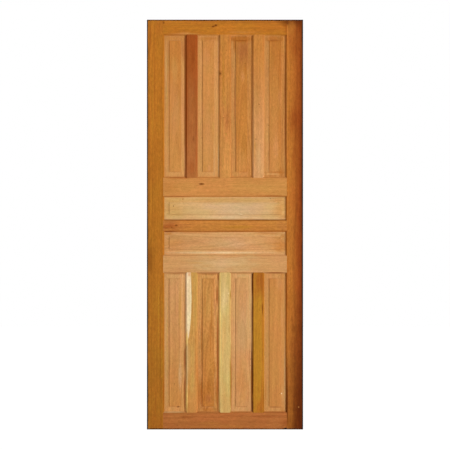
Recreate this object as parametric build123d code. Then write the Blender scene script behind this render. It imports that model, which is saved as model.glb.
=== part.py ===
from build123d import *
import os

# Framed door leaf with raised panels, the same on both faces, in millimetres.
# x runs from the hinge edge to the lock edge, y through the thickness, z up.
# The origin is the middle of the hinge edge.

# Overall size of the leaf
door_width = 800.0
door_height = 2100.0
frame_thickness = 35.0
arris_radius = 1.5

# Widths of the frame members, measured on their flat faces
stile_face = 83.0
top_rail_face = 76.0
upper_lock_rail_face = 92.0
middle_rail_face = 52.0
lower_lock_rail_face = 85.0
bottom_rail_face = 86.0
muntin_face = 49.0

# Openings between the rails, measured between flat faces; the upper bay takes what is left
lower_bay_opening = 719.0
lower_lock_opening = 128.0
upper_lock_opening = 127.0
panel_columns = 4

# Moulding run along every edge that holds a panel: a hollow chamfer from an eased arris down to the groove's lip
moulding_width = 6.0
hollow_depth = 0.8
face_arris_radius = 0.8
lip_land = 1.5

# Groove behind the moulding, how far it runs in past the face's edge, and the clearances in it
groove_width = 14.0
groove_reach = 2.0
joint_gap = 0.2
panel_play = 2.0

# Blind tenons that hold the rails in the stiles
tenon_length = 55.0
tenon_shoulder = 6.0
haunch_height = 25.0
mortise_end_gap = 0.8

# Raised panels
panel_thickness = 25.0
panel_border = 27.0
field_step = 3.5
field_radius = 1.5

# Sizes that follow from the ones above
overshoot = 2 * joint_gap
half_thickness = frame_thickness / 2
tongue_thickness = groove_width - 2 * joint_gap
groove_depth = moulding_width + groove_reach
moulding_depth = half_thickness - groove_width / 2 - lip_land
column_opening = (door_width - 2 * stile_face - (panel_columns - 1) * muntin_face) / panel_columns

# Heights of the flat faces' edges, from the bottom of the leaf up
leaf_bottom = -door_height / 2
leaf_top = door_height / 2
lower_bay_low = leaf_bottom + bottom_rail_face
lower_bay_high = lower_bay_low + lower_bay_opening
lower_lock_low = lower_bay_high + lower_lock_rail_face
lower_lock_high = lower_lock_low + lower_lock_opening
upper_lock_low = lower_lock_high + middle_rail_face
upper_lock_high = upper_lock_low + upper_lock_opening
upper_bay_low = upper_lock_high + upper_lock_rail_face
upper_bay_high = leaf_top - top_rail_face


def moulding_waste(gap):
    """Wood cut away beside one arris: x from the face's edge towards the panel, y from the face."""
    foot = gap - moulding_depth
    sight_edge = moulding_width + gap
    outline = Polyline(
        (sight_edge, foot),
        (sight_edge + overshoot, foot),
        (sight_edge + overshoot, gap + overshoot),
        (gap, gap + overshoot),
        (gap, gap),
    )
    hollow = SagittaArc((gap, gap), (sight_edge, foot), -hollow_depth)
    return make_face(outline + hollow)


def bar_section(low, high, low_moulded, high_moulded, gap=0.0):
    """Section of a frame member between two face edges, grown all round by gap to cut what meets it."""
    low_edge = low - gap - (moulding_width if low_moulded else 0)
    high_edge = high + gap + (moulding_width if high_moulded else 0)
    blank = Rectangle(high_edge - low_edge, frame_thickness + 2 * gap)
    section = Pos((low_edge + high_edge) / 2, 0) * blank
    waste = moulding_waste(gap)
    groove = Rectangle(2 * (groove_depth - gap), groove_width - 2 * gap)
    if high_moulded:
        corner = Pos(high, half_thickness) * waste
        section -= corner + mirror(corner, about=Plane.XZ)
        section -= Pos(high + moulding_width, 0) * groove
    if low_moulded:
        corner = Pos(low, half_thickness) * mirror(waste, about=Plane.YZ)
        section -= corner + mirror(corner, about=Plane.XZ)
        section -= Pos(low - moulding_width, 0) * groove
    return section


def eased_section(low, high, low_moulded, high_moulded):
    """Section of a frame member with the arris eased where its faces meet the moulding."""
    section = bar_section(low, high, low_moulded, high_moulded)
    arrises = []
    for edge, moulded in ((low, low_moulded), (high, high_moulded)):
        for face in (-half_thickness, half_thickness):
            if moulded:
                arrises += section.vertices().sort_by_distance((edge, face))[:1]
    return fillet(arrises, face_arris_radius)


def upright_bar(section, bottom, top):
    """Run a section up the leaf."""
    return extrude(Pos(0, 0, bottom) * section, amount=top - bottom, dir=(0, 0, 1))


def cross_bar(section, left, right):
    """Run a section across the leaf, its width turned to stand upright."""
    across = Plane(origin=(left, 0, 0), x_dir=(0, 0, 1), z_dir=(1, 0, 0))
    return extrude(across * section, amount=right - left, dir=(1, 0, 0))


def block(x_low, x_high, thickness, z_low, z_high):
    """A plain block centred in the leaf's thickness."""
    centre = Pos((x_low + x_high) / 2, 0, (z_low + z_high) / 2)
    return centre * Box(x_high - x_low, thickness, z_high - z_low)


def to_lock_side(shape):
    """Mirror a shape from the hinge edge to the lock edge."""
    return mirror(shape, about=Plane.YZ.offset(door_width / 2))


# Each rail by the heights of its face edges, and which of the two are moulded
rails = {
    "bottom_rail": (leaf_bottom, lower_bay_low, False, True),
    "lower_lock_rail": (lower_bay_high, lower_lock_low, True, True),
    "middle_rail": (lower_lock_high, upper_lock_low, True, True),
    "upper_lock_rail": (upper_lock_high, upper_bay_low, True, True),
    "top_rail": (upper_bay_high, leaf_top, True, False),
}


def tenon_span(low, high, low_moulded, high_moulded):
    """A tenon stops a shoulder short of a moulded edge, and a haunch short of the leaf's end."""
    low_stop = low + (tenon_shoulder if low_moulded else haunch_height)
    high_stop = high - (tenon_shoulder if high_moulded else haunch_height)
    return low_stop, high_stop


def stile(eased_leaf):
    """The hinge stile: moulded and grooved along its inner edge, with a blind mortise for each rail."""
    bar = upright_bar(eased_section(0, stile_face, False, True), leaf_bottom, leaf_top)
    mouth = stile_face - groove_reach
    end = mouth - tenon_length - mortise_end_gap
    for place in rails.values():
        low_stop, high_stop = tenon_span(*place)
        bar -= block(end, mouth + overshoot, groove_width, low_stop - joint_gap, high_stop + joint_gap)
    return bar & eased_leaf


def rail(low, high, low_moulded, high_moulded, eased_leaf):
    """A rail with its ends scribed over the stiles' moulding and a haunched tenon at each end."""
    left = stile_face - groove_reach
    section = eased_section(low, high, low_moulded, high_moulded)
    bar = cross_bar(section, left, door_width - left)
    scribe = upright_bar(bar_section(0, stile_face, False, True, joint_gap), leaf_bottom, leaf_top)
    bar = bar - scribe - to_lock_side(scribe)
    low_stop, high_stop = tenon_span(low, high, low_moulded, high_moulded)
    tenon_end = left - tenon_length
    root = stile_face + moulding_width
    tenon = block(tenon_end, root, tongue_thickness, low_stop, high_stop)
    return (bar + tenon + to_lock_side(tenon)) & eased_leaf


def muntin(left, right, rail_below, rail_above):
    """A short upright with both ends scribed over the rails and stubbed into their grooves."""
    bottom = rails[rail_below][1] - groove_reach
    top = rails[rail_above][0] + groove_reach
    bar = upright_bar(eased_section(left, right, True, True), bottom, top)
    for neighbour in (rail_below, rail_above):
        scribe = bar_section(*rails[neighbour], joint_gap)
        bar -= cross_bar(scribe, left - muntin_face, right + muntin_face)
    return bar


def panel_section(opening):
    """Section of a raised panel: a tongue in the groove, a sloping border, a step and a flat field."""
    sight = opening / 2 - moulding_width
    edge = sight + groove_depth - panel_play
    slope_start = sight - panel_play
    field_edge = sight - panel_border
    step_foot = field_edge + field_radius
    tongue = tongue_thickness / 2
    field = panel_thickness / 2
    outline = Polyline(
        (field_edge, field),
        (0, field),
        (0, 0),
        (edge, 0),
        (edge, tongue),
        (slope_start, tongue),
        (step_foot, field - field_step),
        (step_foot, field - field_radius),
    )
    nosing = CenterArc((field_edge, field - field_radius), field_radius, 0, 90)
    quarter = make_face(outline + nosing)
    half = quarter + mirror(quarter, about=Plane.YZ)
    return half + mirror(half, about=Plane.XZ)


def raised_panel(left, right, bottom, top):
    """A panel raised on all four sides: its upright and level runs of the section, crossed."""
    upright = Pos((left + right) / 2, 0) * panel_section(right - left)
    level = Pos((bottom + top) / 2, 0) * panel_section(top - bottom)
    raised_sides = upright_bar(upright, bottom - groove_reach, top + groove_reach)
    raised_ends = cross_bar(level, left - groove_reach, right + groove_reach)
    return raised_sides & raised_ends


def column_left(column):
    """The face edge to the left of a column of panels, counted from 0 at the hinge side."""
    return stile_face + column * (column_opening + muntin_face)


def build_leaf():
    """All the members of the leaf, by name."""
    corner_rounded = fillet(Box(door_width, frame_thickness, door_height).edges(), arris_radius)
    eased_leaf = Pos(door_width / 2, 0, 0) * corner_rounded
    members = {}
    members["hinge_stile"] = stile(eased_leaf)
    members["lock_stile"] = to_lock_side(members["hinge_stile"])
    for name, place in rails.items():
        members[name] = rail(*place, eased_leaf)
    bays = {
        "upper": (upper_bay_low, upper_bay_high, "upper_lock_rail", "top_rail"),
        "lower": (lower_bay_low, lower_bay_high, "bottom_rail", "lower_lock_rail"),
    }
    for bay, (low, high, rail_below, rail_above) in bays.items():
        for column in range(panel_columns):
            left = column_left(column)
            right = left + column_opening
            members[f"{bay}_panel_{column + 1}"] = raised_panel(left, right, low, high)
        for column in range(panel_columns - 1):
            left = column_left(column) + column_opening
            members[f"{bay}_muntin_{column + 1}"] = muntin(left, left + muntin_face, rail_below, rail_above)
    lock_openings = {
        "upper_lock_panel": (upper_lock_low, upper_lock_high),
        "lower_lock_panel": (lower_lock_low, lower_lock_high),
    }
    for name, (low, high) in lock_openings.items():
        members[name] = raised_panel(stile_face, door_width - stile_face, low, high)
    return members


os.makedirs("parts", exist_ok=True)
for name, member in build_leaf().items():
    export_step(member, f"parts/{name}.step")
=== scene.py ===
"""Finishes a framed door leaf of mixed woods and sets it on a plain studio stage, laid out as an add-on."""

import math

import bpy
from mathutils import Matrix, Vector


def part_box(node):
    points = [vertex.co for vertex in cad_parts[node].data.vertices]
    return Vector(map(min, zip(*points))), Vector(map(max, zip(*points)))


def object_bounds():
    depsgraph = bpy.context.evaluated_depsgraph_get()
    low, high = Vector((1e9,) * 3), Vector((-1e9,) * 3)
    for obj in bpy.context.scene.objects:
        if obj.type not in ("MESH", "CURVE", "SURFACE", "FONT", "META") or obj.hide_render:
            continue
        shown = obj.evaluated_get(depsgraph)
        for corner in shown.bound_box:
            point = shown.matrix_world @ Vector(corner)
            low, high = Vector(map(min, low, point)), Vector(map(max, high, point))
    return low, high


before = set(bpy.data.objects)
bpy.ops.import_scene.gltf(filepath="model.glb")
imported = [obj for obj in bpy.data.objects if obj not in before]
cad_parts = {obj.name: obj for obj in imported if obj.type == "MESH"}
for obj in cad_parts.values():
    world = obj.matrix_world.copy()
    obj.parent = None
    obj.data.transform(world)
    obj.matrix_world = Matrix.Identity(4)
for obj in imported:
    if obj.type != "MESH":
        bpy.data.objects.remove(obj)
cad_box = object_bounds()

bl_info = {
    "name": "Mixed-wood panel door",
    "version": (1, 0, 0),
    "blender": (4, 5, 0),
    "location": "View3D > Sidebar > Panel Door",
    "description": "Finishes the boards of a framed door leaf in mixed varnished woods and lights the leaf",
    "category": "Object",
}

MM = 1000.0
WHITE = (1.0, 1.0, 1.0, 1.0)

# The leaf's outer edges and thickness, in millimetres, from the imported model
LEAF_LOW, LEAF_HIGH = (Vector(corner) * MM for corner in cad_box)


def wood_tone(label, used_on, red, green, blue):
    """A colour setting for one wood, written as display values from 0 to 255."""
    return bpy.props.FloatVectorProperty(
        name=label,
        description=f"Varnished wood of {used_on}, as it looks in plain light",
        subtype="COLOR_GAMMA",
        size=3,
        min=0.0,
        max=1.0,
        default=(red / 255, green / 255, blue / 255),
    )


def share(label, description, default, highest=1.0):
    """A setting without a unit."""
    return bpy.props.FloatProperty(
        name=label, description=description, default=default, min=0.0, max=highest, subtype="FACTOR"
    )


def length_mm(label, description, default):
    """A length setting in metres, written in millimetres."""
    return bpy.props.FloatProperty(
        name=label, description=description, default=default / MM, min=0.0, precision=5, unit="LENGTH"
    )


class DoorWoodTones(bpy.types.PropertyGroup):
    """The woods that the boards are cut from, and the colours that mark them, with tones for painted shade
    and painted light.
    """

    amber: wood_tone("Amber", "the hinge stile and the top rail", 181, 112, 38)
    golden: wood_tone("Golden", "the yellowest muntin", 186, 128, 42)
    copper: wood_tone("Copper", "the lock stile's inner half", 186, 113, 46)
    russet: wood_tone("Russet", "darker streaks in many boards", 174, 103, 38)
    red_brown: wood_tone("Red brown", "the bottom rail", 174, 106, 55)
    mahogany: wood_tone("Mahogany", "the darkest muntin", 158, 80, 32)
    dark_red: wood_tone("Dark red", "heartwood bands", 140, 64, 24)
    umber: wood_tone("Umber", "the darkest heartwood", 96, 42, 14)
    # Painted shade: the dark tone of the lines painted along the mouldings and at the feet of the panels'
    # steps, where shade falls
    seam: wood_tone("Seam", "the lines along the mouldings, where dirt gathers", 146, 66, 2)
    bronze: wood_tone("Bronze", "the hinge stile's lower half", 168, 107, 36)
    honey: wood_tone("Honey", "the middle rail and some panels", 190, 123, 57)
    tan: wood_tone("Tan", "the upper lock rail and most panels", 200, 136, 72)
    rosy: wood_tone("Rosy", "the lower lock panel and pinkish panels", 204, 149, 94)
    blush: wood_tone("Blush", "pink clouds in the panels", 212, 146, 92)
    pale: wood_tone("Pale", "the upper lock panel", 209, 168, 112)
    primrose: wood_tone("Primrose", "the palest muntin", 209, 176, 108)
    straw: wood_tone("Straw", "yellow bands in the pale boards", 201, 152, 80)
    olive: wood_tone("Olive", "mineral streaks", 166, 126, 52)
    bisque: wood_tone("Bisque", "the whitish middle of the upper lock panel", 209, 171, 127)
    sapwood: wood_tone("Sapwood", "the white wedge of sapwood", 240, 214, 168)
    # Painted light: a light tone painted on the pale muntins' mouldings where they fall in shade
    butter: wood_tone("Butter", "the clean light edges of the pale muntins", 252, 214, 126)
    knot: wood_tone("Knot", "knots and flecks", 104, 52, 14)
    # Painted shade: the dark line painted round the leaf's outer arrises
    edge_stain: wood_tone("Edge stain", "the leaf's grimy outer arrises", 24, 12, 6)


class DoorGrain(bpy.types.PropertyGroup):
    """How strongly the grain, the pores and the varnish show."""

    ring_pitch: length_mm("Ring pitch", "Distance between growth rings", 5.0)
    figure: share("Figure", "Contrast of the growth bands", 0.24)
    fibre: share("Fibre", "Contrast of the fine fibres", 0.16)
    speckle: share("Speckle", "Contrast of the short flecks between the fibres", 0.22)
    pores: share("Pores", "How dark the pores are", 0.32)
    mottle: share("Mottle", "Cloudy change of lightness over a board", 0.035)
    hue_drift: share("Hue drift", "Cloudy change between pinkish and yellowish wood", 0.02)
    border_lift: share("Border lift", "How much lighter the panels' cut borders are", 0.06)
    border_pale: share("Border pale", "How far the panels' cut borders turn to the pale tone", 0.25)
    field_step: length_mm("Field step", "Height of the step round a panel's field", 3.5)
    # Painted shade: the dark line at the foot of the step, where the step shades the border
    step_shade: share("Step line", "How far the foot of that step turns to the seam tone", 0.16)
    roughness: share("Roughness", "Roughness of the satin varnish", 0.5)
    varnish: share("Varnish", "Light that the varnish reflects, taken off the wood's own colour", 0.005)
    gloss: share("Gloss", "How strongly the varnish mirrors", 0.07)
    relief: length_mm("Relief", "Depth of the pores and fibres", 0.25)


class DoorEdgeShade(bpy.types.PropertyGroup):
    """Painted shade along the leaf's outer arrises."""

    # The stain in these settings is painted shade along the outer arrises
    shade_width: length_mm("Stain width", "How far in from the leaf's edge the stain is solid", 4.2)
    shade_fade: length_mm("Stain fade", "How far further in the stain fades out", 2.4)
    shade_wrap: length_mm("Stain wrap", "How far round onto the leaf's edges the stain runs", 4.0)
    hinge_edge: share("Hinge edge", "Strength of the stain along the hinge edge", 0.99)
    lock_edge: share("Lock edge", "Strength of the stain along the lock edge", 0.99)
    top_edge: share("Top edge", "Strength of the stain along the top", 0.85)
    bottom_edge: share("Bottom edge", "Strength of the stain along the bottom", 0.85)


class DoorStage(bpy.types.PropertyGroup):
    """The light, the floor and the camera."""

    ambient: share("Ambient", "Light from all round", 0.67, 2.0)
    key_power: bpy.props.FloatProperty(
        name="Key power",
        description="Power of the soft box at the right",
        default=735.0,
        min=0.0,
        unit="POWER",
    )
    key_size: length_mm("Key size", "Side of the soft box", 2200.0)
    key_aside: length_mm("Key aside", "How far to the right of the leaf the soft box stands", 8400.0)
    key_ahead: length_mm("Key ahead", "How far in front of the leaf the soft box stands", 7500.0)
    key_above: length_mm("Key above", "How far above the leaf's middle the soft box hangs", 200.0)
    view_distance: length_mm("View distance", "From the camera to the leaf's face", 12000.0)
    view_width: length_mm("View width", "Width that the picture covers at the leaf's face", 2305.7)
    view_height: length_mm("View height", "How far below the leaf's middle the picture is centred", 2.2)
    floor_size: length_mm("Floor size", "Side of the floor", 40000.0)
    floor_tone: share("Floor tone", "How light the floor's own grey is", 0.8)
    floor_glow: share("Floor glow", "How bright the floor shows as backdrop", 1.1, 2.0)
    floor_shade: share("Floor shade", "How much of the floor's own light and shade shows", 0.12)


# Features for each millimetre across and along the grain, and detail, of each change within a board
WARP = (0.045, 0.012, 3.0)
SWAY = (0.002, 0.0022, 1.0)
WIGGLE = (0.018, 0.005, 2.0)
FIBRE = (0.55, 0.007, 4.0)
SPECKLE = (0.15, 0.06, 2.0)
PORES = (2.2, 0.09, 1.0)
MOTTLE = (0.014, 0.0045, 2.0)
HUE = (0.021, 0.0085, 2.0)

# How far the rings sway and wiggle and the change of tone frays, in millimetres
SWAY_REACH = 44.0
WIGGLE_REACH = 9.0
FRAY_REACH = 120.0

# How far the pith leans back for each millimetre along a board
PITH_LEAN = 0.02

# Growth bands for each ring, and the share of their contrast that the late wood has
BANDS_PER_RING = 0.45
LATE_SHARE = 0.25

# Where in a ring the late wood starts to darken, is darkest, starts to fade and ends
LATE_START, LATE_FULL, LATE_FADING, LATE_END = 0.35, 0.92, 0.94, 1.0

# Noise values between which pores and clouds come in
PORE_EDGE = (0.6, 0.7)
CLOUD_EDGE = (0.3, 0.7)

# How much more than red the green and the blue change where wood darkens, and in a pore
WOOD_TINT = (1.15, 1.4)
PORE_TINT = (1.1, 1.2)

# What fibres, pores and late wood add to the roughness and to the relief
FIBRE_ROUGHNESS = 0.25
PORE_ROUGHNESS = 0.1
FIBRE_HEIGHT = 0.5
PORE_DEPTH = 0.6
LATE_DEPTH = 0.2
BUMP_STRENGTH = 0.6

# Millimetres below a panel's field over which its cut border comes in
BORDER_EDGE = (0.2, 1.7)

# How far above the foot of the step its painted shade line starts and is full, and how far below it ends, in
# millimetres
LINE_START, LINE_FULL, LINE_END = 2.0, 1.0, 0.4

# Millimetres over which the painted edge shade fades out round an arris
WRAP_FADE = 1.0

# Sockets of a Mix node for colours: its factor, its two colours and its result
MIX_FACTOR, MIX_FIRST, MIX_SECOND, MIX_RESULT = 0, 6, 7, 2

# Shift of the noise from one board to the next
SEED_STEP = Vector((137.0, 59.0, 211.0))


class Value:
    """An output socket of a material; arithmetic on it adds Math nodes."""

    def __init__(self, nodes, socket):
        self.nodes = nodes
        self.socket = socket

    def output(self, name):
        """Another output of the same node."""
        return Value(self.nodes, self.socket.node.outputs[name])

    def __add__(self, other):
        return self.nodes.math("ADD", self, other)

    def __sub__(self, other):
        return self.nodes.math("SUBTRACT", self, other)

    def __rsub__(self, other):
        return self.nodes.math("SUBTRACT", other, self)

    def __mul__(self, other):
        return self.nodes.math("MULTIPLY", self, other)

    def __truediv__(self, other):
        return self.nodes.math("DIVIDE", self, other)

    def __rtruediv__(self, other):
        return self.nodes.math("DIVIDE", other, self)

    def __pow__(self, other):
        return self.nodes.math("POWER", self, other)

    def __rpow__(self, other):
        return self.nodes.math("POWER", other, self)

    def __abs__(self):
        return self.nodes.math("ABSOLUTE", self)

    __radd__ = __add__
    __rmul__ = __mul__


class Nodes:
    """A node tree, and the one way that nodes are added to it."""

    def __init__(self, tree):
        self.tree = tree
        tree.nodes.clear()

    def add(self, kind, settings=None, inputs=None, output=0):
        """Add a node: its settings first, then the values or links of its sockets."""
        node = self.tree.nodes.new(kind)
        for name, setting in (settings or {}).items():
            setattr(node, name, setting)
        for place, value in (inputs or {}).items():
            if isinstance(value, Value):
                self.tree.links.new(value.socket, node.inputs[place])
            else:
                node.inputs[place].default_value = value
        return Value(self, node.outputs[output]) if node.outputs else node

    def math(self, operation, *terms):
        """Add a Math node."""
        return self.add("ShaderNodeMath", {"operation": operation}, dict(enumerate(terms)))

    def mix(self, factor, first, second, blend="MIX"):
        """Mix two colours."""
        settings = {"data_type": "RGBA", "blend_type": blend}
        inputs = {MIX_FACTOR: factor, MIX_FIRST: first, MIX_SECOND: second}
        return self.add("ShaderNodeMix", settings, inputs, MIX_RESULT)

    def multiply(self, colour, shade):
        """Multiply a colour by another."""
        return self.mix(1.0, colour, shade, "MULTIPLY")

    def fade(self, value, start, end):
        """0 at start, 1 at end and smooth between them; start may be the larger."""
        settings = {"interpolation_type": "SMOOTHSTEP"}
        inputs = {"Value": value, "From Min": start, "From Max": end, "To Min": 0.0, "To Max": 1.0}
        return self.add("ShaderNodeMapRange", settings, inputs)

    def noise(self, point, stretch, shift, detail):
        """Noise in space, with the point scaled by stretch and moved by shift first."""
        place = self.add(
            "ShaderNodeMapping",
            {"vector_type": "POINT"},
            {"Vector": point, "Scale": stretch, "Location": shift},
        )
        inputs = {"Vector": place, "Scale": 1.0, "Detail": detail, "Roughness": 0.55}
        return self.add("ShaderNodeTexNoise", {"noise_dimensions": "3D"}, inputs)


def linear(channel):
    """A display value from 0 to 1 as linear light, by the standard curve."""
    return channel / 12.92 if channel <= 0.04045 else ((channel + 0.055) / 1.055) ** 2.4


def grey(level):
    """An even grey."""
    return (level, level, level, 1.0)


def darkening(amount, green, blue):
    """A colour to multiply by: it takes amount off red, and green and blue times that off the others."""
    return (1 - amount, 1 - amount * green, 1 - amount * blue, 1.0)


class Mark:
    """A stain, streak or knot in a board: an ellipse of another tone, in millimetres on the leaf's face.

    Softness is the share of its reach over which it fades out, ragged how far the grain frays its edge,
    tilt its turn in degrees, and swirl how far it pushes the growth rings aside.
    """

    def __init__(
        self, tone, x, z, width, height, strength=0.5, softness=0.9, ragged=0.6, tilt=0.0, swirl=0.0
    ):
        self.tone = tone
        self.x = x
        self.z = z
        self.width = width
        self.height = height
        self.strength = strength
        self.softness = softness
        self.ragged = ragged
        self.tilt = tilt
        self.swirl = swirl


def blotch(tone, x, z, width, height, strength=0.5):
    """A soft cloud of another tone."""
    return Mark(tone, x, z, width, height, strength, softness=1.0, ragged=1.2)


def fleck(x, z, width, height, strength=0.6, tone="knot"):
    """A small sharp mark, such as a pitch pocket or a dent."""
    return Mark(tone, x, z, width, height, strength, softness=0.7, ragged=0.3)


def seam(x, z, width, height, strength=0.5, tone="seam", softness=0.6):
    """A line of painted shade along a moulding, or of painted light where a moulding falls in shade."""
    return Mark(tone, x, z, width, height, strength, softness, ragged=0.2)


def knot(x, z, width, height, strength=0.85):
    """A small dark knot with a reddish ring, round which the grain swirls."""
    ring = Mark("russet", x, z, width * 2.6, height * 3.4, strength * 0.55, softness=1.0, swirl=9.0)
    heart = Mark("knot", x, z, width, height, strength, softness=0.6, ragged=0.3)
    return [ring, heart]


class Board:
    """One board: its tone at the top or left end, its tone at the other end, and what marks it.

    The pith is where the tree's heart lay from the board's middle, across its face and behind it, in
    millimetres, which sets whether the growth rings show as straight lines or as arches. Lift makes all
    its tones lighter, and figure its growth bands and flecks stronger.
    """

    def __init__(self, first, last, pith, lift=1.0, figure=1.0, marks=()):
        self.first = first
        self.last = last
        self.pith = pith
        self.lift = lift
        self.figure = figure
        self.marks = marks


# Where the pith lay: far to one side, halfway, or nearly behind the board
STRAIGHT = (150.0, 25.0)
RIFT = (75.0, 60.0)
ARCHED = (12.0, 75.0)

# A streak this long runs from end to end of any board
FULL_LENGTH = 6000.0

# In the tables below, the line marks along the mouldings paint shade where the frame shades the panels, or
# paint lighter wood where a moulding falls in shade
STILES = {
    "hinge_stile": Board("amber", "bronze", STRAIGHT, figure=1.3, marks=[
        # Painted shade: the hinge stile darkens towards its outer edge
        Mark("umber", 0.0, -100.0, 54.0, FULL_LENGTH, 0.3, softness=1.0),
        Mark("golden", 29.0, 600.0, 14.0, 800.0, 0.4),
        Mark("dark_red", 38.5, 800.0, 6.0, 640.0, 0.32),
        Mark("dark_red", 18.0, 960.0, 7.0, 240.0, 0.35),
        blotch("russet", 60.0, 1010.0, 60.0, 150.0, 0.5),
        Mark("golden", 59.0, -480.0, 10.0, 640.0, 0.6),
        Mark("dark_red", 69.0, -650.0, 5.0, 900.0, 0.4),
        Mark("dark_red", 69.0, -368.0, 6.0, 90.0, 0.3),
        Mark("golden", 75.5, -560.0, 7.0, 800.0, 0.6),
        Mark("dark_red", 43.5, -930.0, 6.0, 300.0, 0.4),
        blotch("mahogany", 45.0, -1020.0, 130.0, 240.0, 0.3),
        blotch("umber", 18.0, -165.0, 64.0, 220.0, 0.35),
        seam(84.5, -865.0, 8.0, 220.0, 0.45),
        Mark("golden", 74.0, -700.0, 11.0, 280.0, 0.6),
    ]),
    "lock_stile": Board("copper", "copper", STRAIGHT, figure=1.4, marks=[
        Mark("dark_red", 790.0, 0.0, 130.0, FULL_LENGTH, 0.97, softness=1.0, ragged=0.3),
        blotch("dark_red", 762.0, 530.0, 100.0, 260.0, 0.6),
        blotch("dark_red", 785.0, 940.0, 90.0, 280.0, 0.5),
        Mark("umber", 790.0, -1050.0, 220.0, 1600.0, 0.95, softness=1.0, ragged=0.3),
        Mark("umber", 800.0, 0.0, 44.0, FULL_LENGTH, 0.9, softness=1.0, ragged=0.3),
        # Painted shade on the lower part of the stile's left moulding
        Mark("umber", 717.5, -890.0, 16.0, 500.0, 0.9),
        seam(716.0, -420.0, 9.0, 420.0, 0.4),
        Mark("umber", 718.0, 1036.0, 32.0, 44.0, 0.7),
        Mark("umber", 778.0, -950.0, 90.0, 420.0, 0.45, softness=1.0),
        blotch("dark_red", 775.0, 1010.0, 70.0, 100.0, 0.6),
        blotch("umber", 742.0, -482.0, 22.0, 80.0, 0.4),
        blotch("umber", 751.0, -538.0, 34.0, 80.0, 0.5),
        Mark("umber", 765.0, 1052.0, 240.0, 110.0, 0.9, softness=1.0),
        Mark("umber", 800.0, 1050.0, 90.0, 190.0, 0.7, softness=1.0),
        seam(716.0, 590.0, 9.0, 760.0, 0.45, "tan"),
        Mark("umber", 790.0, -640.0, 170.0, 900.0, 0.4, softness=1.0, ragged=0.3),
        fleck(777.0, -935.0, 9.0, 12.0, 0.6, "tan"),
        blotch("dark_red", 746.0, 930.0, 60.0, 360.0, 0.35),
        blotch("dark_red", 755.0, 350.0, 34.0, 300.0, 0.35),
        blotch("russet", 737.0, -390.0, 40.0, 340.0, 0.6),
        blotch("umber", 752.0, -940.0, 50.0, 130.0, 0.35),
        Mark("umber", 790.0, -870.0, 24.0, 300.0, 0.4, softness=1.0),
        Mark("umber", 788.0, 880.0, 16.0, 240.0, 0.4, softness=1.0),
    ]),
}
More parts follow.
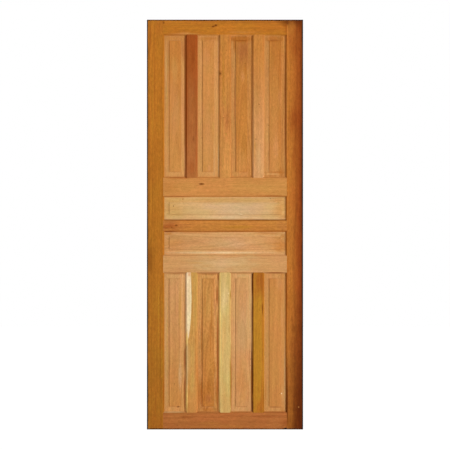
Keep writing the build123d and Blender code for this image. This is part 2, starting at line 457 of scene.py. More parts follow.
RAILS = {
    "top_rail": Board("amber", "amber", RIFT, lift=1.04, figure=1.15, marks=[
        blotch("russet", 680.0, 1010.0, 300.0, 100.0, 0.6),
        Mark("umber", 716.0, 1042.0, 120.0, 66.0, 0.95, softness=0.9),
        blotch("dark_red", 716.0, 1008.0, 40.0, 80.0, 0.6),
        Mark("russet", 400.0, 1050.0, 1400.0, 56.0, 0.8, softness=1.0),
        Mark("russet", 250.0, 987.0, 360.0, 7.0, 0.6, tilt=-3.5),
        seam(400.0, 970.5, 900.0, 9.0, 0.85, "tan"),
        Mark("tan", 200.0, 977.0, 260.0, 14.0, 0.55),
        Mark("honey", 490.0, 985.0, 300.0, 20.0, 0.65),
        Mark("tan", 194.0, 980.0, 90.0, 22.0, 0.5),
        *knot(340.0, 1015.0, 22.0, 13.0, 0.95),
        *knot(353.0, 1021.0, 20.0, 13.0, 0.95),
        fleck(84.0, 1035.0, 20.0, 18.0, 0.8),
    ]),
    "upper_lock_rail": Board("tan", "tan", RIFT, figure=0.85, marks=[
        seam(145.0, 243.0, 140.0, 8.0, 0.5),
        seam(203.0, 242.0, 26.0, 12.0, 0.8),
        seam(165.0, 237.0, 180.0, 8.0, 0.35),
        seam(130.0, 144.0, 260.0, 9.0, 0.25),
        seam(660.0, 144.0, 160.0, 9.0, 0.3),
        seam(640.0, 149.0, 180.0, 8.0, 0.3),
        blotch("honey", 120.0, 195.0, 160.0, 110.0, 0.4),
        blotch("straw", 560.0, 190.0, 320.0, 80.0, 0.35),
        Mark("knot", 280.0, 208.0, 40.0, 15.0, 0.85, softness=0.8, ragged=0.3),
    ]),
    "middle_rail": Board("honey", "honey", STRAIGHT, lift=1.03, figure=1.2, marks=[
        blotch("red_brown", 110.0, -6.0, 260.0, 90.0, 0.95),
        blotch("mahogany", 100.0, -14.0, 150.0, 70.0, 0.75),
        # Painted shade under the rail's lower moulding
        Mark("umber", 115.0, -35.0, 120.0, 9.0, 0.6),
        *knot(150.0, -4.0, 20.0, 14.0, 0.7),
        *knot(127.0, -14.0, 12.0, 10.0, 0.6),
        blotch("red_brown", 695.0, -5.0, 110.0, 80.0, 0.5),
        seam(400.0, 24.0, 1400.0, 9.0, 0.5, "umber"),
        seam(620.0, 25.0, 260.0, 9.0, 0.55, "umber"),
        seam(640.0, -31.0, 180.0, 8.0, 0.35),
        seam(400.0, -35.0, 1400.0, 9.0, 0.3),
        Mark("golden", 470.0, -12.0, 240.0, 26.0, 0.5),
        fleck(520.0, -18.0, 10.0, 5.0, 0.3),
    ]),
    "lower_lock_rail": Board("rosy", "rosy", RIFT, lift=1.01, figure=0.55, marks=[
        blotch("pale", 400.0, -203.0, 560.0, 130.0, 0.7),
        blotch("bisque", 390.0, -203.0, 420.0, 120.0, 0.5),
        seam(310.0, -248.0, 500.0, 8.0, 0.3),
        seam(660.0, -247.0, 130.0, 10.0, 0.65),
        Mark("straw", 250.0, -196.0, 130.0, 16.0, 0.4),
    ]),
    "bottom_rail": Board("red_brown", "red_brown", RIFT, figure=1.1, marks=[
        blotch("dark_red", 195.0, -986.0, 90.0, 34.0, 0.45),
        blotch("dark_red", 710.0, -1015.0, 100.0, 110.0, 0.45),
        seam(130.0, -961.0, 180.0, 11.0, 0.75, "pale"),
        Mark("dark_red", 600.0, -982.0, 220.0, 10.0, 0.35),
        Mark("honey", 400.0, -1034.0, 560.0, 16.0, 0.35),
        Mark("honey", 320.0, -1017.0, 180.0, 14.0, 0.45),
        seam(450.0, -961.0, 500.0, 9.0, 0.4, "tan"),
        # Painted shade in the lower corner at the lock edge
        Mark("edge_stain", 711.0, -1045.0, 26.0, 10.0, 0.97, softness=0.4, ragged=0.2),
    ]),
}
MUNTINS = {
    "upper_muntin_1": Board("mahogany", "red_brown", STRAIGHT, marks=[
        seam(200.0, 592.0, 13.0, 724.0, 0.87, softness=0.25),
        blotch("red_brown", 225.0, 640.0, 40.0, 320.0, 0.45),
        blotch("mahogany", 228.0, 290.0, 60.0, 130.0, 0.45),
        Mark("dark_red", 236.0, 860.0, 22.0, 200.0, 0.5),
        Mark("umber", 252.0, 520.0, 8.0, 260.0, 0.5),
        Mark("mahogany", 253.0, 340.0, 10.0, 210.0, 0.6),
        blotch("umber", 238.0, 440.0, 16.0, 44.0, 0.4),
    ]),
    "upper_muntin_2": Board("honey", "tan", RIFT, lift=1.02, figure=1.4, marks=[
        *knot(376.0, 774.0, 13.0, 16.0, 0.75),
        Mark("golden", 392.0, 770.0, 16.0, 420.0, 0.5),
        blotch("red_brown", 415.0, 555.0, 60.0, 270.0, 0.85),
        seam(373.0, 945.0, 10.0, 90.0, 0.75, "tan"),
        seam(377.0, 520.0, 9.0, 200.0, 0.35),
        fleck(406.0, 893.0, 8.0, 8.0, 0.4),
        Mark("olive", 401.0, 620.0, 9.0, 140.0, 0.5),
        fleck(392.0, 547.0, 10.0, 9.0, 0.5),
        blotch("olive", 405.0, 463.0, 16.0, 22.0, 0.6),
        Mark("olive", 391.0, 328.0, 8.0, 70.0, 0.5),
    ]),
    "upper_muntin_3": Board("honey", "rosy", STRAIGHT, lift=1.02, marks=[
        fleck(575.0, 616.0, 9.0, 10.0),
        fleck(557.0, 895.0, 7.0, 9.0, 0.4),
        fleck(558.0, 437.0, 9.0, 12.0),
        Mark("olive", 556.0, 404.0, 9.0, 50.0, 0.5),
        Mark("pale", 574.0, 330.0, 30.0, 240.0, 0.4),
        Mark("honey", 552.0, 380.0, 14.0, 240.0, 0.5),
    ]),
    "lower_muntin_1": Board("straw", "tan", STRAIGHT, marks=[
        Mark("tan", 234.0, -420.0, 14.0, 420.0, 0.6),
        blotch("primrose", 234.0, -740.0, 36.0, 420.0, 0.35),
        blotch("straw", 230.0, -760.0, 50.0, 420.0, 0.9),
        Mark("honey", 250.0, -700.0, 14.0, 520.0, 0.35),
        Mark("honey", 258.0, -780.0, 11.0, 440.0, 0.7),
        seam(204.0, -870.0, 13.0, 240.0, 0.7, "butter"),
        Mark("olive", 250.0, -420.0, 6.0, 330.0, 0.35),
        Mark("sapwood", 205.0, -376.0, 50.0, 470.0, 0.95, softness=0.14, ragged=0.3),
        seam(205.5, -700.0, 16.0, 380.0, 0.9, "pale", softness=0.4),
        seam(204.0, -583.0, 13.0, 96.0, 0.9, "butter"),
        Mark("pale", 217.0, -696.0, 20.0, 240.0, 0.35),
        Mark("rosy", 216.0, -330.0, 7.0, 260.0, 0.45),
        blotch("blush", 216.0, -256.0, 26.0, 40.0, 0.8),
        Mark("olive", 232.0, -560.0, 5.0, 120.0, 0.35, tilt=-6.0),
    ]),
    "lower_muntin_2": Board("primrose", "primrose", RIFT, figure=0.8, marks=[
        blotch("straw", 400.0, -900.0, 70.0, 260.0, 0.5),
        blotch("sapwood", 396.0, -370.0, 60.0, 280.0, 0.25),
        Mark("olive", 428.0, -800.0, 12.0, 440.0, 0.9, softness=0.6),
        # Painted light on the muntin's left moulding, which falls in shade
        Mark("butter", 373.0, -500.0, 13.0, 1000.0, 1.0, softness=0.4, ragged=0.3),
        Mark("straw", 397.0, -548.0, 26.0, 300.0, 0.35),
        Mark("straw", 426.0, -430.0, 15.0, 360.0, 0.55),
        Mark("straw", 389.0, -640.0, 12.0, 560.0, 0.4),
        Mark("olive", 429.0, -360.0, 11.0, 66.0, 0.9),
        Mark("olive", 421.0, -540.0, 7.0, 80.0, 0.45),
        Mark("olive", 432.0, -894.0, 6.0, 56.0, 0.75),
        fleck(387.0, -876.0, 8.0, 14.0, 0.5, "olive"),
        fleck(418.0, -353.0, 10.0, 14.0, 0.5, "sapwood"),
    ]),
    "lower_muntin_3": Board("golden", "golden", RIFT, marks=[
        blotch("russet", 570.0, -290.0, 100.0, 330.0, 0.95),
        Mark("dark_red", 590.0, -290.0, 26.0, 360.0, 0.4),
        seam(541.0, -600.0, 11.0, FULL_LENGTH, 0.95, "umber"),
        seam(547.0, -780.0, 8.0, 400.0, 0.8, "golden"),
        seam(541.0, -625.0, 12.0, 200.0, 0.35, "golden"),
        seam(545.0, -886.0, 11.0, 56.0, 0.55, "golden"),
        Mark("russet", 594.0, -600.0, 14.0, 900.0, 0.6),
        Mark("umber", 592.0, -434.0, 12.0, 100.0, 0.7),
        Mark("russet", 597.0, -340.0, 9.0, 220.0, 0.7),
        Mark("umber", 598.0, -890.0, 9.0, 280.0, 0.5),
        Mark("russet", 590.0, -890.0, 26.0, 300.0, 0.6),
        Mark("russet", 572.0, -848.0, 7.0, 70.0, 0.6),
        blotch("russet", 580.0, -940.0, 70.0, 110.0, 0.75),
    ]),
}
PANELS = {
    "upper_panel_1": Board("honey", "tan", ARCHED, figure=0.7, marks=[
        Mark("blush", 184.0, 600.0, 24.0, 640.0, 0.65),
        blotch("rosy", 144.0, 560.0, 90.0, 500.0, 0.3),
        Mark("honey", 144.0, 954.0, 150.0, 36.0, 0.7),
        Mark("red_brown", 186.0, 900.0, 32.0, 200.0, 0.55),
        seam(195.0, 600.0, 12.0, FULL_LENGTH, 0.66),
        seam(193.0, 330.0, 11.0, 220.0, 0.6, "blush"),
        Mark("tan", 190.0, 966.0, 34.0, 24.0, 0.5),
        blotch("straw", 140.0, 800.0, 50.0, 170.0, 0.4),
        Mark("straw", 102.0, 640.0, 16.0, 700.0, 0.4),
        Mark("pale", 98.0, 760.0, 10.0, 420.0, 0.6),
        fleck(151.0, 419.0, 6.0, 10.0, 0.35),
        fleck(165.0, 301.0, 9.0, 9.0, 0.4, "olive"),
    ]),
    "upper_panel_2": Board("tan", "tan", RIFT, figure=0.75, marks=[
        blotch("honey", 312.0, 900.0, 110.0, 200.0, 0.5),
        blotch("blush", 305.0, 860.0, 50.0, 170.0, 0.3),
        blotch("rosy", 314.0, 450.0, 90.0, 520.0, 0.3),
        Mark("honey", 312.0, 953.0, 170.0, 38.0, 0.95),
        # Painted light in the shaded corner by the moulding
        Mark("tan", 368.0, 950.0, 16.0, 64.0, 0.8),
        seam(367.0, 870.0, 12.0, 220.0, 0.7, "blush"),
        seam(367.0, 330.0, 12.0, 220.0, 0.8, "pale"),
        Mark("honey", 355.0, 880.0, 13.0, 200.0, 0.5),
        Mark("umber", 282.0, 662.0, 5.0, 54.0, 0.45),
        fleck(336.0, 803.0, 7.0, 7.0, 0.5),
        fleck(340.0, 749.0, 7.0, 6.0, 0.4),
        fleck(340.0, 937.0, 7.0, 6.0, 0.4),
        fleck(282.0, 444.0, 7.0, 9.0, 0.45),
        blotch("straw", 341.0, 500.0, 22.0, 110.0, 0.5),
        blotch("blush", 319.0, 290.0, 22.0, 44.0, 0.5),
        Mark("pale", 345.0, 330.0, 20.0, 330.0, 0.35),
    ]),
    "upper_panel_3": Board("honey", "honey", ARCHED, figure=1.1, marks=[
        blotch("red_brown", 495.0, 880.0, 120.0, 250.0, 0.9),
        Mark("russet", 487.0, 951.0, 180.0, 42.0, 0.85, softness=0.6),
        seam(485.0, 943.0, 92.0, 8.0, 0.45),
        Mark("russet", 450.0, 920.0, 24.0, 110.0, 0.75),
        seam(449.0, 610.0, 9.0, 400.0, 0.4),
        Mark("honey", 527.0, 600.0, 36.0, FULL_LENGTH, 0.6),
        seam(537.0, 600.0, 8.0, FULL_LENGTH, 0.35),
        Mark("russet", 503.0, 795.0, 12.0, 110.0, 0.6),
        blotch("blush", 490.0, 758.0, 30.0, 80.0, 0.4),
        fleck(503.0, 826.0, 11.0, 8.0, 0.45),
        Mark("russet", 474.0, 465.0, 7.0, 90.0, 0.45),
        blotch("tan", 480.0, 310.0, 120.0, 220.0, 0.7),
    ]),
    "upper_panel_4": Board("honey", "tan", RIFT, figure=1.0, lift=0.97, marks=[
        blotch("russet", 668.0, 900.0, 120.0, 260.0, 0.4),
        Mark("russet", 655.0, 951.0, 130.0, 42.0, 0.65, softness=0.6),
        seam(655.0, 945.0, 92.0, 8.0, 0.3),
        Mark("russet", 693.0, 600.0, 60.0, FULL_LENGTH, 0.5),
        seam(709.0, 600.0, 9.0, 800.0, 0.65),
        # Painted shade along the foot of the bottom step
        Mark("russet", 655.0, 267.0, 150.0, 14.0, 0.6),
        Mark("russet", 636.0, 250.0, 120.0, 13.0, 0.6),
        blotch("russet", 690.0, 270.0, 60.0, 70.0, 0.4),
        Mark("russet", 657.0, 820.0, 9.0, 60.0, 0.35),
        Mark("russet", 655.0, 745.0, 8.0, 60.0, 0.45),
        blotch("blush", 680.0, 640.0, 30.0, 160.0, 0.3),
        blotch("blush", 660.0, 395.0, 40.0, 160.0, 0.35),
        fleck(668.0, 359.0, 8.0, 12.0, 0.5, "rosy"),
        fleck(624.0, 508.0, 9.0, 12.0, 0.4),
        fleck(599.0, 336.0, 8.0, 8.0, 0.5, "pale"),
    ]),
    "lower_panel_1": Board("rosy", "tan", RIFT, figure=1.0, lift=0.98, marks=[
        Mark("straw", 170.0, -420.0, 24.0, 340.0, 0.7),
        seam(195.0, -480.0, 8.0, 520.0, 0.35),
        seam(194.0, -688.0, 13.0, 170.0, 0.65),
        seam(193.0, -870.0, 13.0, 240.0, 0.65),
        seam(144.0, -253.0, 130.0, 8.0, 0.35),
        Mark("pale", 98.0, -700.0, 24.0, 800.0, 0.45),
        Mark("blush", 152.0, -410.0, 10.0, 330.0, 0.4),
        Mark("blush", 187.0, -470.0, 16.0, 300.0, 0.45),
        Mark("straw", 103.0, -600.0, 18.0, 700.0, 0.5),
        Mark("pale", 99.0, -450.0, 10.0, 400.0, 0.6),
        Mark("rosy", 172.0, -730.0, 30.0, 360.0, 0.6),
        Mark("tan", 187.0, -340.0, 13.0, 200.0, 0.6),
        Mark("bisque", 170.0, -780.0, 28.0, 220.0, 0.45),
        fleck(165.0, -510.0, 7.0, 12.0, 0.45, "olive"),
        fleck(142.0, -817.0, 8.0, 16.0, 0.3),
        blotch("umber", 160.0, -934.0, 18.0, 13.0, 0.6),
    ]),
    "lower_panel_2": Board("tan", "honey", ARCHED, lift=0.98, figure=1.4, marks=[
        blotch("straw", 314.0, -390.0, 130.0, 560.0, 0.45),
        Mark("russet", 279.5, -580.0, 10.0, 700.0, 0.65),
        Mark("russet", 325.0, -580.0, 9.0, 320.0, 0.5),
        Mark("russet", 298.0, -400.0, 9.0, 270.0, 0.5),
        Mark("russet", 331.0, -480.0, 11.0, 380.0, 0.5),
        Mark("blush", 348.0, -420.0, 18.0, 300.0, 0.45),
        seam(362.0, -715.0, 11.0, 600.0, 0.65, softness=0.3),
        seam(364.0, -268.0, 10.0, 60.0, 0.6),
        seam(359.0, -362.0, 13.0, 150.0, 0.65),
        seam(279.0, -865.0, 9.0, 210.0, 0.65),
        Mark("russet", 355.0, -865.0, 17.0, 240.0, 0.65),
        Mark("russet", 268.0, -860.0, 40.0, 260.0, 0.5),
        seam(314.0, -254.0, 130.0, 9.0, 0.4),
        Mark("russet", 348.0, -735.0, 26.0, 120.0, 0.4),
        Mark("russet", 314.0, -948.0, 120.0, 34.0, 0.6),
        blotch("russet", 283.0, -880.0, 60.0, 190.0, 0.5),
        blotch("russet", 316.0, -835.0, 60.0, 110.0, 0.5),
        blotch("red_brown", 319.0, -890.0, 56.0, 70.0, 0.75),
    ]),
    "lower_panel_3": Board("rosy", "rosy", ARCHED, figure=0.75, marks=[
        blotch("bisque", 488.0, -560.0, 80.0, 460.0, 0.3),
        blotch("red_brown", 510.0, -925.0, 100.0, 150.0, 0.3),
        blotch("tan", 485.0, -800.0, 130.0, 460.0, 0.6),
        Mark("pale", 485.0, -262.0, 100.0, 16.0, 0.5),
        seam(536.5, -800.0, 11.0, 540.0, 0.85, "umber"),
        seam(537.0, -480.0, 8.0, 240.0, 0.3, "umber"),
        seam(539.0, -300.0, 9.0, 160.0, 0.75, "umber"),
        Mark("russet", 536.0, -840.0, 10.0, 440.0, 0.6, ragged=1.4),
        seam(525.0, -700.0, 8.0, 220.0, 0.35),
        seam(520.0, -865.0, 8.0, 220.0, 0.25),
        Mark("russet", 433.0, -810.0, 11.0, 420.0, 0.6),
        Mark("pale", 514.0, -480.0, 20.0, 400.0, 0.6),
        Mark("pale", 528.0, -440.0, 16.0, 460.0, 0.6),
        Mark("tan", 485.0, -345.0, 46.0, 9.0, 0.35),
        Mark("tan", 485.0, -366.0, 46.0, 7.0, 0.35),
        Mark("blush", 445.0, -320.0, 18.0, 170.0, 0.5),
        fleck(531.0, -690.0, 5.0, 12.0, 0.6),
        fleck(530.0, -722.0, 5.0, 9.0, 0.6),
        fleck(529.0, -650.0, 4.0, 8.0, 0.5),
    ]),
    "lower_panel_4": Board("tan", "tan", RIFT, figure=0.75, lift=0.97, marks=[
        Mark("honey", 694.0, -600.0, 34.0, FULL_LENGTH, 0.45),
        seam(707.0, -790.0, 11.0, 440.0, 0.7, "pale"),
        Mark("honey", 608.0, -865.0, 13.0, 220.0, 0.7),
        seam(657.0, -937.0, 92.0, 7.0, 0.4),
        blotch("blush", 678.0, -300.0, 60.0, 110.0, 0.5),
        Mark("blush", 692.0, -470.0, 20.0, 180.0, 0.45),
        Mark("straw", 614.0, -520.0, 18.0, 560.0, 0.35),
        Mark("rosy", 697.0, -880.0, 20.0, 160.0, 0.6),
        fleck(690.0, -866.0, 9.0, 9.0, 0.9, "sapwood"),
        fleck(681.0, -866.0, 5.0, 7.0, 0.6),
    ]),
}
LOCK_PANELS = {
    "upper_lock_panel": Board("pale", "pale", RIFT, figure=0.7, marks=[
        blotch("straw", 110.0, 84.0, 260.0, 190.0, 0.6),
        blotch("straw", 700.0, 84.0, 130.0, 190.0, 0.4),
        blotch("bisque", 460.0, 78.0, 440.0, 170.0, 0.95),
        Mark("straw", 400.0, 126.0, 1000.0, 44.0, 0.6),
        Mark("sapwood", 430.0, 36.0, 460.0, 20.0, 0.25),
        Mark("pale", 630.0, 139.0, 190.0, 11.0, 0.6),
        Mark("tan", 165.0, 139.0, 190.0, 11.0, 0.5),
        blotch("tan", 685.0, 90.0, 150.0, 190.0, 0.6),
        Mark("honey", 184.0, 131.0, 9.0, 24.0, 0.8),
        blotch("honey", 702.0, 36.0, 50.0, 40.0, 0.3),
        fleck(136.0, 95.0, 9.0, 12.0, 0.6),
        blotch("olive", 672.0, 112.0, 14.0, 22.0, 0.6),
        fleck(632.0, 133.0, 10.0, 7.0, 0.6),
        Mark("sapwood", 480.0, 53.0, 40.0, 7.0, 0.7, tilt=-12.0, swirl=4.0),
        Mark("olive", 484.0, 48.0, 36.0, 5.0, 0.5, tilt=-12.0),
    ]),
    "lower_lock_panel": Board("rosy", "rosy", ARCHED, figure=0.9, marks=[
        blotch("tan", 130.0, -95.0, 190.0, 130.0, 0.6),
        blotch("tan", 670.0, -95.0, 190.0, 130.0, 0.6),
        blotch("bisque", 420.0, -95.0, 340.0, 110.0, 0.45),
        Mark("sapwood", 380.0, -144.0, 720.0, 17.0, 0.55),
        blotch("russet", 697.0, -60.0, 36.0, 34.0, 0.6),
        blotch("honey", 690.0, -105.0, 110.0, 120.0, 0.75),
        Mark("honey", 620.0, -46.0, 220.0, 24.0, 0.5),
        Mark("honey", 112.0, -46.0, 70.0, 26.0, 0.75),
        Mark("honey", 250.0, -42.0, 360.0, 11.0, 0.5),
        fleck(680.0, -70.0, 12.0, 12.0, 0.3, "red_brown"),
    ]),
}


def board_seed(name):
    """A shift of the noise that differs from board to board and is the same in every run."""
    order = sorted(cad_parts).index(name)
    return SEED_STEP * (order + 1)


class BoardWood:
    """The varnished wood of one board, grown through it so that faces, edges and ends agree."""

    def __init__(self, name, board):
        scene = bpy.context.scene
        self.board = board
        self.tones = scene.door_tones
        self.grain = scene.door_grain
        self.wear = scene.door_wear
        self.seed = board_seed(name)
        self.material = bpy.data.materials.new(name)
        self.material.use_nodes = True
        self.nodes = Nodes(self.material.node_tree)
        self.low, self.high = (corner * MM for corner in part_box(name))
        self.upright = self.high.z - self.low.z > self.high.x - self.low.x
        self.is_panel = "panel" in name
        self.read_place()
        self.grow_grain()
        self.finish()

    def read_place(self):
        """The point in millimetres, and the same point as across, depth and along the board."""
        nodes = self.nodes
        point = nodes.add("ShaderNodeTexCoord", output="Object")
        axes = nodes.add("ShaderNodeSeparateXYZ", inputs={"Vector": point})
        self.x = axes.output("X") * MM
        self.depth = axes.output("Y") * MM
        self.z = axes.output("Z") * MM
        self.face_point = nodes.add("ShaderNodeCombineXYZ", inputs={"X": self.x, "Z": self.z})
        middle = (self.low + self.high) / 2
        if self.upright:
            self.across = self.x - middle.x
            self.along = self.z - middle.z
            self.half_length = (self.high.z - self.low.z) / 2
        else:
            self.across = self.z - middle.z
            self.along = self.x - middle.x
            self.half_length = (self.high.x - self.low.x) / 2
        grain_axes = {"X": self.across, "Y": self.depth, "Z": self.along}
        self.board_point = nodes.add("ShaderNodeCombineXYZ", inputs=grain_axes)

    def noise(self, across, along, detail):
        """Noise drawn out along the board, with features about 1 / across by 1 / along millimetres large."""
        stretch = (across, across, along)
        return self.nodes.noise(self.board_point, stretch, self.seed, detail)

    def grow_grain(self):
        """Growth bands, fine fibres, pores and slow clouds of colour."""
        nodes = self.nodes
        self.warp = self.noise(*WARP) - 0.5
        sway = (self.noise(*SWAY) - 0.5) * SWAY_REACH
        wiggle = (self.noise(*WIGGLE) - 0.5) * WIGGLE_REACH
        pith_across, pith_depth = self.board.pith
        heart_across = self.across + sway + wiggle - pith_across
        for mark in self.board.marks:
            if mark.swirl:
                heart_across = heart_across + self.mark_mask(mark) * mark.swirl
        heart_depth = self.depth - self.along * PITH_LEAN - pith_depth
        radius = (heart_across * heart_across + heart_depth * heart_depth) ** 0.5
        ring = radius / (self.grain.ring_pitch * MM)
        bands = nodes.add(
            "ShaderNodeTexNoise",
            {"noise_dimensions": "1D"},
            {"W": ring * BANDS_PER_RING + self.seed.x, "Scale": 1.0, "Detail": 3.0, "Roughness": 0.6},
        )
        year = nodes.math("FRACT", ring)
        rising = nodes.fade(year, LATE_START, LATE_FULL)
        self.late_wood = rising * nodes.fade(year, LATE_END, LATE_FADING)
        self.bands = bands * (1 - LATE_SHARE) + self.late_wood * LATE_SHARE
        self.fibre = self.noise(*FIBRE)
        self.speckle = self.noise(*SPECKLE)
        self.pores = nodes.fade(self.noise(*PORES), *PORE_EDGE)
        self.mottle = nodes.fade(self.noise(*MOTTLE), *CLOUD_EDGE)
        self.hue = nodes.fade(self.noise(*HUE), *CLOUD_EDGE)

    def tone(self, name):
        """A named tone as the wood's own colour, without the light that its varnish reflects."""
        bare = [max(0.0, linear(channel) - self.grain.varnish) for channel in getattr(self.tones, name)]
        return (*(min(1.0, channel * self.board.lift) for channel in bare), 1.0)

    def mark_mask(self, mark):
        """How strongly a mark shows at a point."""
        nodes = self.nodes
        place = nodes.add(
            "ShaderNodeMapping",
            {"vector_type": "TEXTURE"},
            {
                "Vector": self.face_point,
                "Location": (mark.x, 0.0, mark.z),
                "Rotation": (0.0, -math.radians(mark.tilt), 0.0),
                "Scale": (mark.width / 2, 1.0, mark.height / 2),
            },
        )
        reach = nodes.add("ShaderNodeVectorMath", {"operation": "LENGTH"}, {0: place}, output="Value")
        return nodes.fade(reach + self.warp * mark.ragged, 1.0, 1.0 - mark.softness) * mark.strength

    def base_tone(self):
        """The board's own colour, drifting from end to end, with its marks."""
        nodes = self.nodes
        drift = nodes.fade(self.along + self.warp * FRAY_REACH, -self.half_length, self.half_length)
        ends = [self.tone(self.board.first), self.tone(self.board.last)]
        if self.upright:
            ends.reverse()
        colour = nodes.mix(drift, *ends)
        if self.is_panel:
            colour = self.lift_border(colour)
        for mark in self.board.marks:
            colour = nodes.mix(self.mark_mask(mark), colour, self.tone(mark.tone))
        return colour

    def shade(self, colour, factor, amount):
        """Lighten a colour where factor is 0, and make it darker and redder where it is 1."""
        light = darkening(-amount, *WOOD_TINT)
        dark = darkening(amount, *WOOD_TINT)
        return self.nodes.multiply(colour, self.nodes.mix(factor, light, dark))

    def drift_hue(self, colour):
        """Turn the colour a little to pink or to yellow, in clouds."""
        amount = self.grain.hue_drift
        pinkish = (1 + amount, 1 - amount, 1.0, 1.0)
        yellowish = (1 - amount, 1 + amount, 1 - amount, 1.0)
        return self.nodes.multiply(colour, self.nodes.mix(self.hue, pinkish, yellowish))

    def lift_border(self, colour):
        """Make the cut border of a panel lighter and paler than its field, with a painted shade line at the
        foot of the step.
        """
        nodes = self.nodes
        sunk = self.high.y - abs(self.depth)
        border = nodes.fade(sunk, *BORDER_EDGE)
        paler = nodes.mix(self.grain.border_pale, colour, self.tone("pale"))
        colour = nodes.mix(border, colour, nodes.multiply(paler, grey(1 + self.grain.border_lift)))
        # Painted shade along the foot of the step round the field
        foot = self.grain.field_step * MM
        upper = nodes.fade(sunk, foot - LINE_START, foot - LINE_FULL)
        line = upper * nodes.fade(sunk, foot + LINE_END, foot)
        return nodes.mix(line * self.grain.step_shade, colour, self.tone("seam"))

    def shade_edges(self, colour):
        """Paint shade along the outer arrises of the leaf, on the boards that reach them."""
        nodes = self.nodes
        wear = self.wear
        solid = wear.shade_width * MM
        faded = solid + wear.shade_fade * MM
        wrap = LEAF_HIGH.y - wear.shade_wrap * MM
        near_face = nodes.fade(abs(self.depth), wrap, wrap + WRAP_FADE)
        edges = (
            (wear.hinge_edge, self.x - LEAF_LOW.x, self.low.x - LEAF_LOW.x),
            (wear.lock_edge, LEAF_HIGH.x - self.x, LEAF_HIGH.x - self.high.x),
            (wear.top_edge, LEAF_HIGH.z - self.z, LEAF_HIGH.z - self.high.z),
            (wear.bottom_edge, self.z - LEAF_LOW.z, self.low.z - LEAF_LOW.z),
        )
        for strength, distance, clearance in edges:
            if clearance < faded:
                reach = distance + self.warp * faded
                mask = nodes.fade(reach, faded, solid) * near_face * strength
                colour = nodes.mix(mask, colour, self.tone("edge_stain"))
        return colour

    def finish(self):
        """Put the tone, the grain, the painted edge shade and the relief together as varnished wood."""
        nodes = self.nodes
        grain = self.grain
        colour = self.base_tone()
        colour = self.shade(colour, self.bands, grain.figure * self.board.figure)
        colour = self.shade(colour, self.fibre, grain.fibre)
        colour = self.shade(colour, self.speckle, grain.speckle * self.board.figure)
        colour = self.shade(colour, self.mottle, grain.mottle)
        colour = self.drift_hue(colour)
        if not self.is_panel:
            colour = self.shade_edges(colour)
        in_pores = nodes.multiply(colour, darkening(grain.pores, *PORE_TINT))
        colour = nodes.mix(self.pores, colour, in_pores)
        uneven = (self.fibre - 0.5) * FIBRE_ROUGHNESS + self.pores * PORE_ROUGHNESS
        roughness = uneven + grain.roughness
        height = self.fibre * FIBRE_HEIGHT - self.pores * PORE_DEPTH - self.late_wood * LATE_DEPTH
        bump = nodes.add(
            "ShaderNodeBump", inputs={"Strength": BUMP_STRENGTH, "Distance": grain.relief, "Height": height}
        )
        surface = nodes.add(
            "ShaderNodeBsdfPrincipled",
            inputs={
                "Base Color": colour,
                "Roughness": roughness,
                "Normal": bump,
                "Specular IOR Level": grain.gloss,
            },
        )
        nodes.add("ShaderNodeOutputMaterial", inputs={"Surface": surface})


def finish_boards(boards):
    """Give each board its own wood."""
    for name, board in boards.items():
        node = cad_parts[name]
        wood = BoardWood(name, board)
        node.data.materials.clear()
        node.data.materials.append(wood.material)


class DOOR_OT_finish_stiles(bpy.types.Operator):
    """Finish the two full-height stiles"""

    bl_idname = "door.finish_stiles"
    bl_label = "Finish Stiles"

    def execute(self, context):
        finish_boards(STILES)
        return {"FINISHED"}


class DOOR_OT_finish_rails(bpy.types.Operator):
    """Finish the five rails between the stiles"""

    bl_idname = "door.finish_rails"
    bl_label = "Finish Rails"

    def execute(self, context):
        finish_boards(RAILS)
        return {"FINISHED"}


class DOOR_OT_finish_muntins(bpy.types.Operator):
    """Finish the six short uprights"""

    bl_idname = "door.finish_muntins"
    bl_label = "Finish Muntins"

    def execute(self, context):
        finish_boards(MUNTINS)
        return {"FINISHED"}


class DOOR_OT_finish_panels(bpy.types.Operator):
    """Finish the eight upright raised panels"""

    bl_idname = "door.finish_panels"
    bl_label = "Finish Panels"

    def execute(self, context):
        finish_boards(PANELS)
        return {"FINISHED"}


class DOOR_OT_finish_lock_panels(bpy.types.Operator):
    """Finish the two long raised panels at hand height"""

    bl_idname = "door.finish_lock_panels"
    bl_label = "Finish Lock Panels"

    def execute(self, context):
        finish_boards(LOCK_PANELS)
        return {"FINISHED"}


def backdrop_rays(nodes):
    """1 for the rays that show the backdrop: straight to the camera, mirrored or through glass."""
    path = nodes.add("ShaderNodeLightPath", output="Is Camera Ray")
    shown = nodes.math("MAXIMUM", path, path.output("Is Glossy Ray"))
    return nodes.math("MAXIMUM", shown, path.output("Is Transmission Ray"))


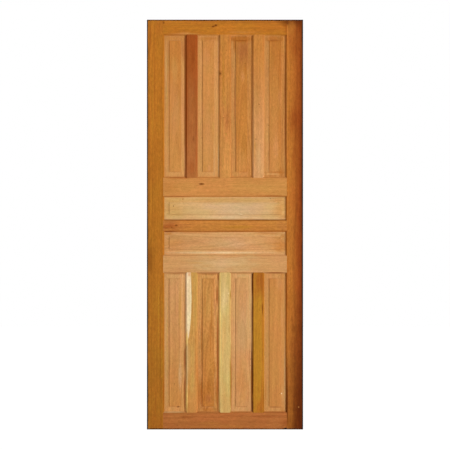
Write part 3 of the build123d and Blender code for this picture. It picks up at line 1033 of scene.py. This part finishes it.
class DOOR_OT_build_stage(bpy.types.Operator):
    """Build the floor, the light and the camera"""

    bl_idname = "door.build_stage"
    bl_label = "Build Stage"

    def execute(self, context):
        scene = context.scene
        stage = scene.door_stage
        scene.view_settings.view_transform = "Standard"
        middle = (LEAF_LOW + LEAF_HIGH) / 2 / MM
        face = LEAF_LOW.y / MM
        self.light_world(scene, stage)
        self.lay_floor(stage, middle)
        self.hang_key(scene, stage, middle, face)
        self.set_camera(scene, stage, middle, face)
        return {"FINISHED"}

    def light_world(self, scene, stage):
        world = bpy.data.worlds.new("studio")
        world.use_nodes = True
        scene.world = world
        nodes = Nodes(world.node_tree)
        lit = nodes.add("ShaderNodeBackground", inputs={"Color": WHITE, "Strength": stage.ambient})
        shown = nodes.add("ShaderNodeBackground", inputs={"Color": WHITE, "Strength": 1.0})
        both = nodes.add("ShaderNodeMixShader", inputs={0: backdrop_rays(nodes), 1: lit, 2: shown})
        nodes.add("ShaderNodeOutputWorld", inputs={"Surface": both})

    def lay_floor(self, stage, middle):
        bpy.ops.mesh.primitive_plane_add(size=stage.floor_size, location=(middle.x, 0.0, LEAF_LOW.z / MM))
        floor = bpy.context.object
        floor.name = "floor"
        material = bpy.data.materials.new("white_floor")
        material.use_nodes = True
        nodes = Nodes(material.node_tree)
        matt = nodes.add("ShaderNodeBsdfDiffuse", inputs={"Color": grey(stage.floor_tone)})
        glow = nodes.add("ShaderNodeEmission", inputs={"Color": WHITE, "Strength": stage.floor_glow})
        white = backdrop_rays(nodes) * (1 - stage.floor_shade)
        both = nodes.add("ShaderNodeMixShader", inputs={0: white, 1: matt, 2: glow})
        nodes.add("ShaderNodeOutputMaterial", inputs={"Surface": both})
        floor.data.materials.append(material)

    def hang_key(self, scene, stage, middle, face):
        lamp = bpy.data.lights.new("key", "AREA")
        lamp.energy = stage.key_power
        lamp.size = stage.key_size
        key = bpy.data.objects.new("key", lamp)
        towards_key = Vector((stage.key_aside, -stage.key_ahead, stage.key_above))
        key.location = Vector((middle.x, face, middle.z)) + towards_key
        key.rotation_euler = towards_key.to_track_quat("Z", "Y").to_euler()
        scene.collection.objects.link(key)

    def set_camera(self, scene, stage, middle, face):
        lens = bpy.data.cameras.new("camera")
        lens.sensor_width = 36.0
        lens.lens = lens.sensor_width * stage.view_distance / stage.view_width
        lens.clip_end = 2 * stage.view_distance
        camera = bpy.data.objects.new("camera", lens)
        camera.location = (middle.x, face - stage.view_distance, middle.z - stage.view_height)
        camera.rotation_euler = (math.radians(90.0), 0.0, 0.0)
        scene.collection.objects.link(camera)
        scene.camera = camera


OPERATORS = (
    DOOR_OT_finish_stiles,
    DOOR_OT_finish_rails,
    DOOR_OT_finish_muntins,
    DOOR_OT_finish_panels,
    DOOR_OT_finish_lock_panels,
    DOOR_OT_build_stage,
)


class DOOR_PT_sidebar(bpy.types.Panel):
    """The door's settings and steps"""

    bl_label = "Panel Door"
    bl_idname = "DOOR_PT_sidebar"
    bl_space_type = "VIEW_3D"
    bl_region_type = "UI"
    bl_category = "Panel Door"

    def draw(self, context):
        scene = context.scene
        for group in (scene.door_tones, scene.door_grain, scene.door_wear, scene.door_stage):
            box = self.layout.box()
            for name in group.bl_rna.properties.keys():
                if name not in ("rna_type", "name"):
                    box.prop(group, name)
        for operator in OPERATORS:
            self.layout.operator(operator.bl_idname)


CLASSES = (DoorWoodTones, DoorGrain, DoorEdgeShade, DoorStage, *OPERATORS, DOOR_PT_sidebar)


def register():
    for item in CLASSES:
        bpy.utils.register_class(item)
    bpy.types.Scene.door_tones = bpy.props.PointerProperty(type=DoorWoodTones)
    bpy.types.Scene.door_grain = bpy.props.PointerProperty(type=DoorGrain)
    bpy.types.Scene.door_wear = bpy.props.PointerProperty(type=DoorEdgeShade)
    bpy.types.Scene.door_stage = bpy.props.PointerProperty(type=DoorStage)


def unregister():
    del bpy.types.Scene.door_stage
    del bpy.types.Scene.door_wear
    del bpy.types.Scene.door_grain
    del bpy.types.Scene.door_tones
    for item in reversed(CLASSES):
        bpy.utils.unregister_class(item)


def main():
    register()
    bpy.ops.door.finish_stiles()
    bpy.ops.door.finish_rails()
    bpy.ops.door.finish_muntins()
    bpy.ops.door.finish_panels()
    bpy.ops.door.finish_lock_panels()
    bpy.ops.door.build_stage()


if __name__ == "__main__":
    main()
